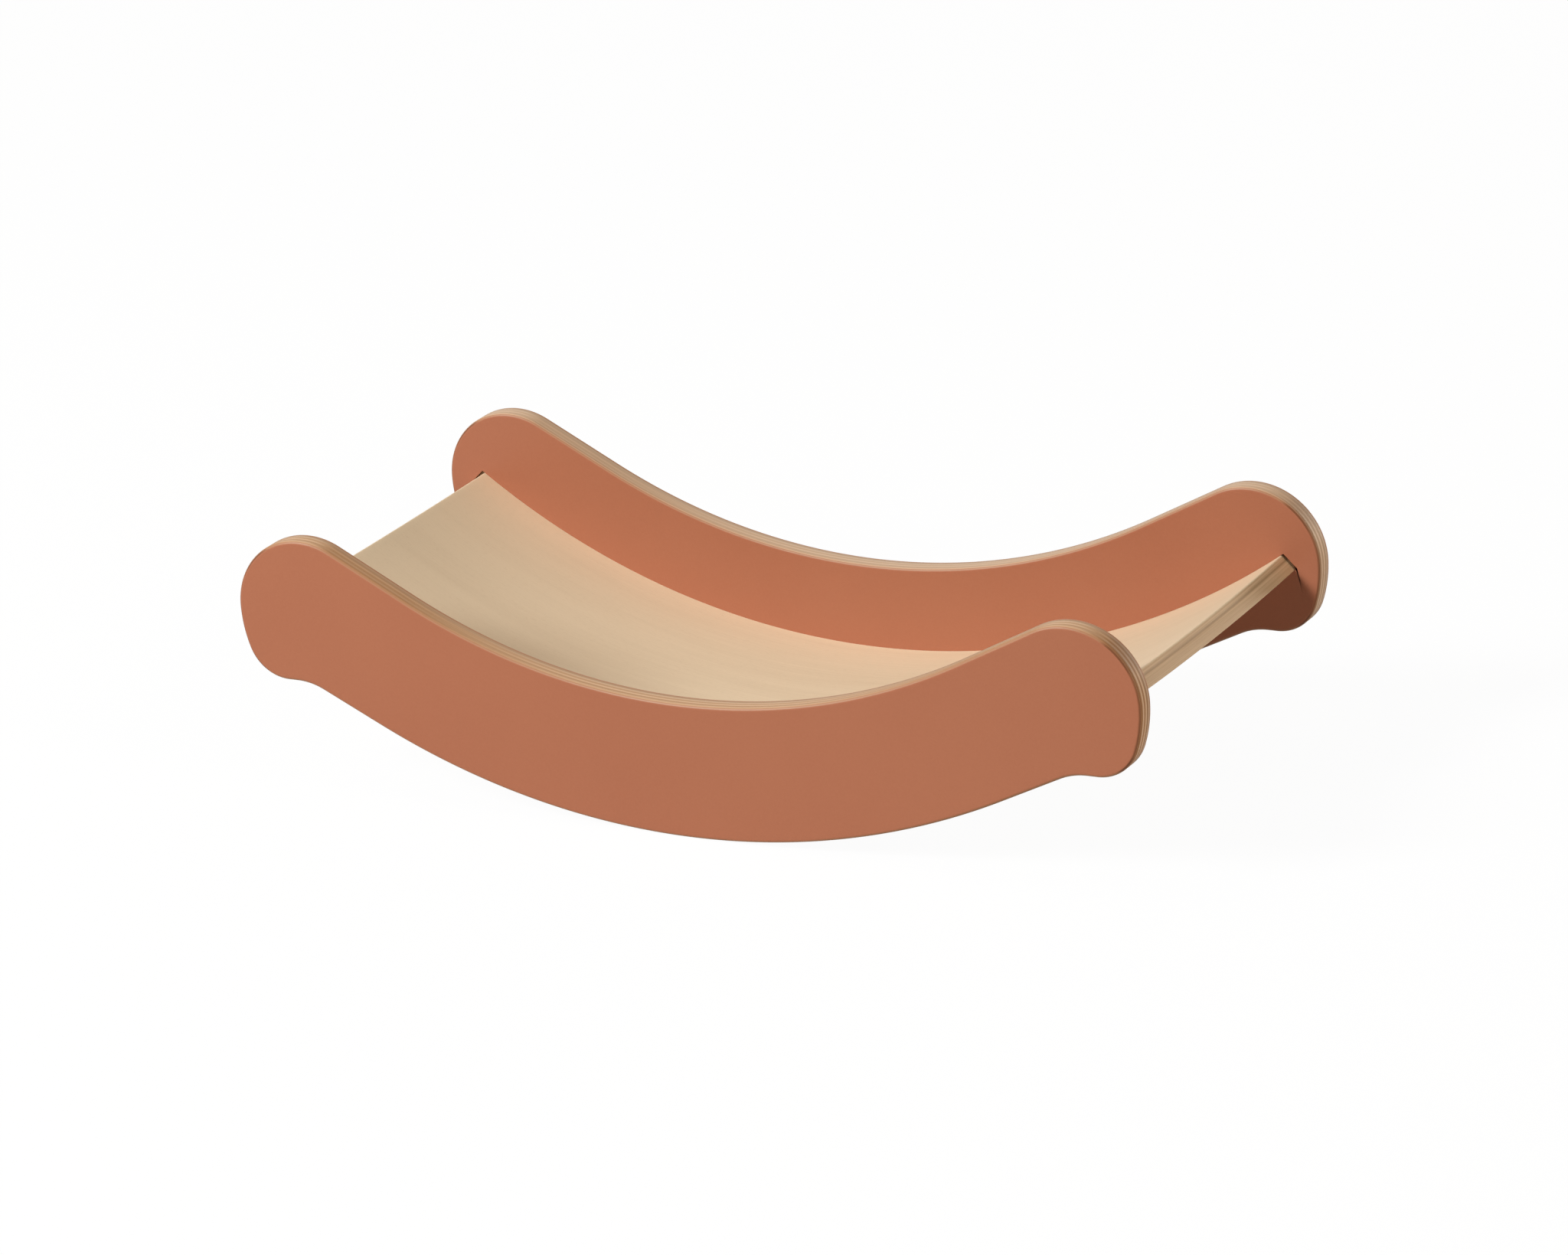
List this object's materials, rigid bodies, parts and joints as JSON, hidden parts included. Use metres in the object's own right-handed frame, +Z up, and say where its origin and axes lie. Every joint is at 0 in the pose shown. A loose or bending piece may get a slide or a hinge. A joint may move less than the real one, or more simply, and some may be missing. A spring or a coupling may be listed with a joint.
{
  "type": "kids balance board",
  "caption": "Curved rocking board for children: a bent plywood deck housed between two rocker-shaped side panels faced with terracotta laminate.",
  "frame": {"origin": "on the floor, midway along and across the board, under the middle of the two rockers", "axes": "+X along the board in the direction in which it rocks, +Y across it from the right panel to the left panel, +Z up"},
  "size_m": [0.75, 0.338, 0.1994],
  "materials": {
    "panel_plywood": "clear satin lacquer on sanded plywood edges",
    "terracotta_laminate": "satin coloured laminate",
    "deck_plywood": "clear satin lacquer on light plywood",
    "dowel_beech": "bare wood, hidden"
  },
  "bodies": {
    "root": {"right_panel_core": "panel_plywood", "right_outer_laminate": "terracotta_laminate", "right_inner_laminate": "terracotta_laminate", "left_panel_core": "panel_plywood", "left_outer_laminate": "terracotta_laminate", "left_inner_laminate": "terracotta_laminate", "deck_top_sheet": "deck_plywood", "deck_bottom_sheet": "deck_plywood", "right_dowel_1": "dowel_beech", "right_dowel_2": "dowel_beech", "right_dowel_3": "dowel_beech", "right_dowel_4": "dowel_beech", "right_dowel_5": "dowel_beech", "left_dowel_1": "dowel_beech", "left_dowel_2": "dowel_beech", "left_dowel_3": "dowel_beech", "left_dowel_4": "dowel_beech", "left_dowel_5": "dowel_beech"}
  },
  "joints": []
}
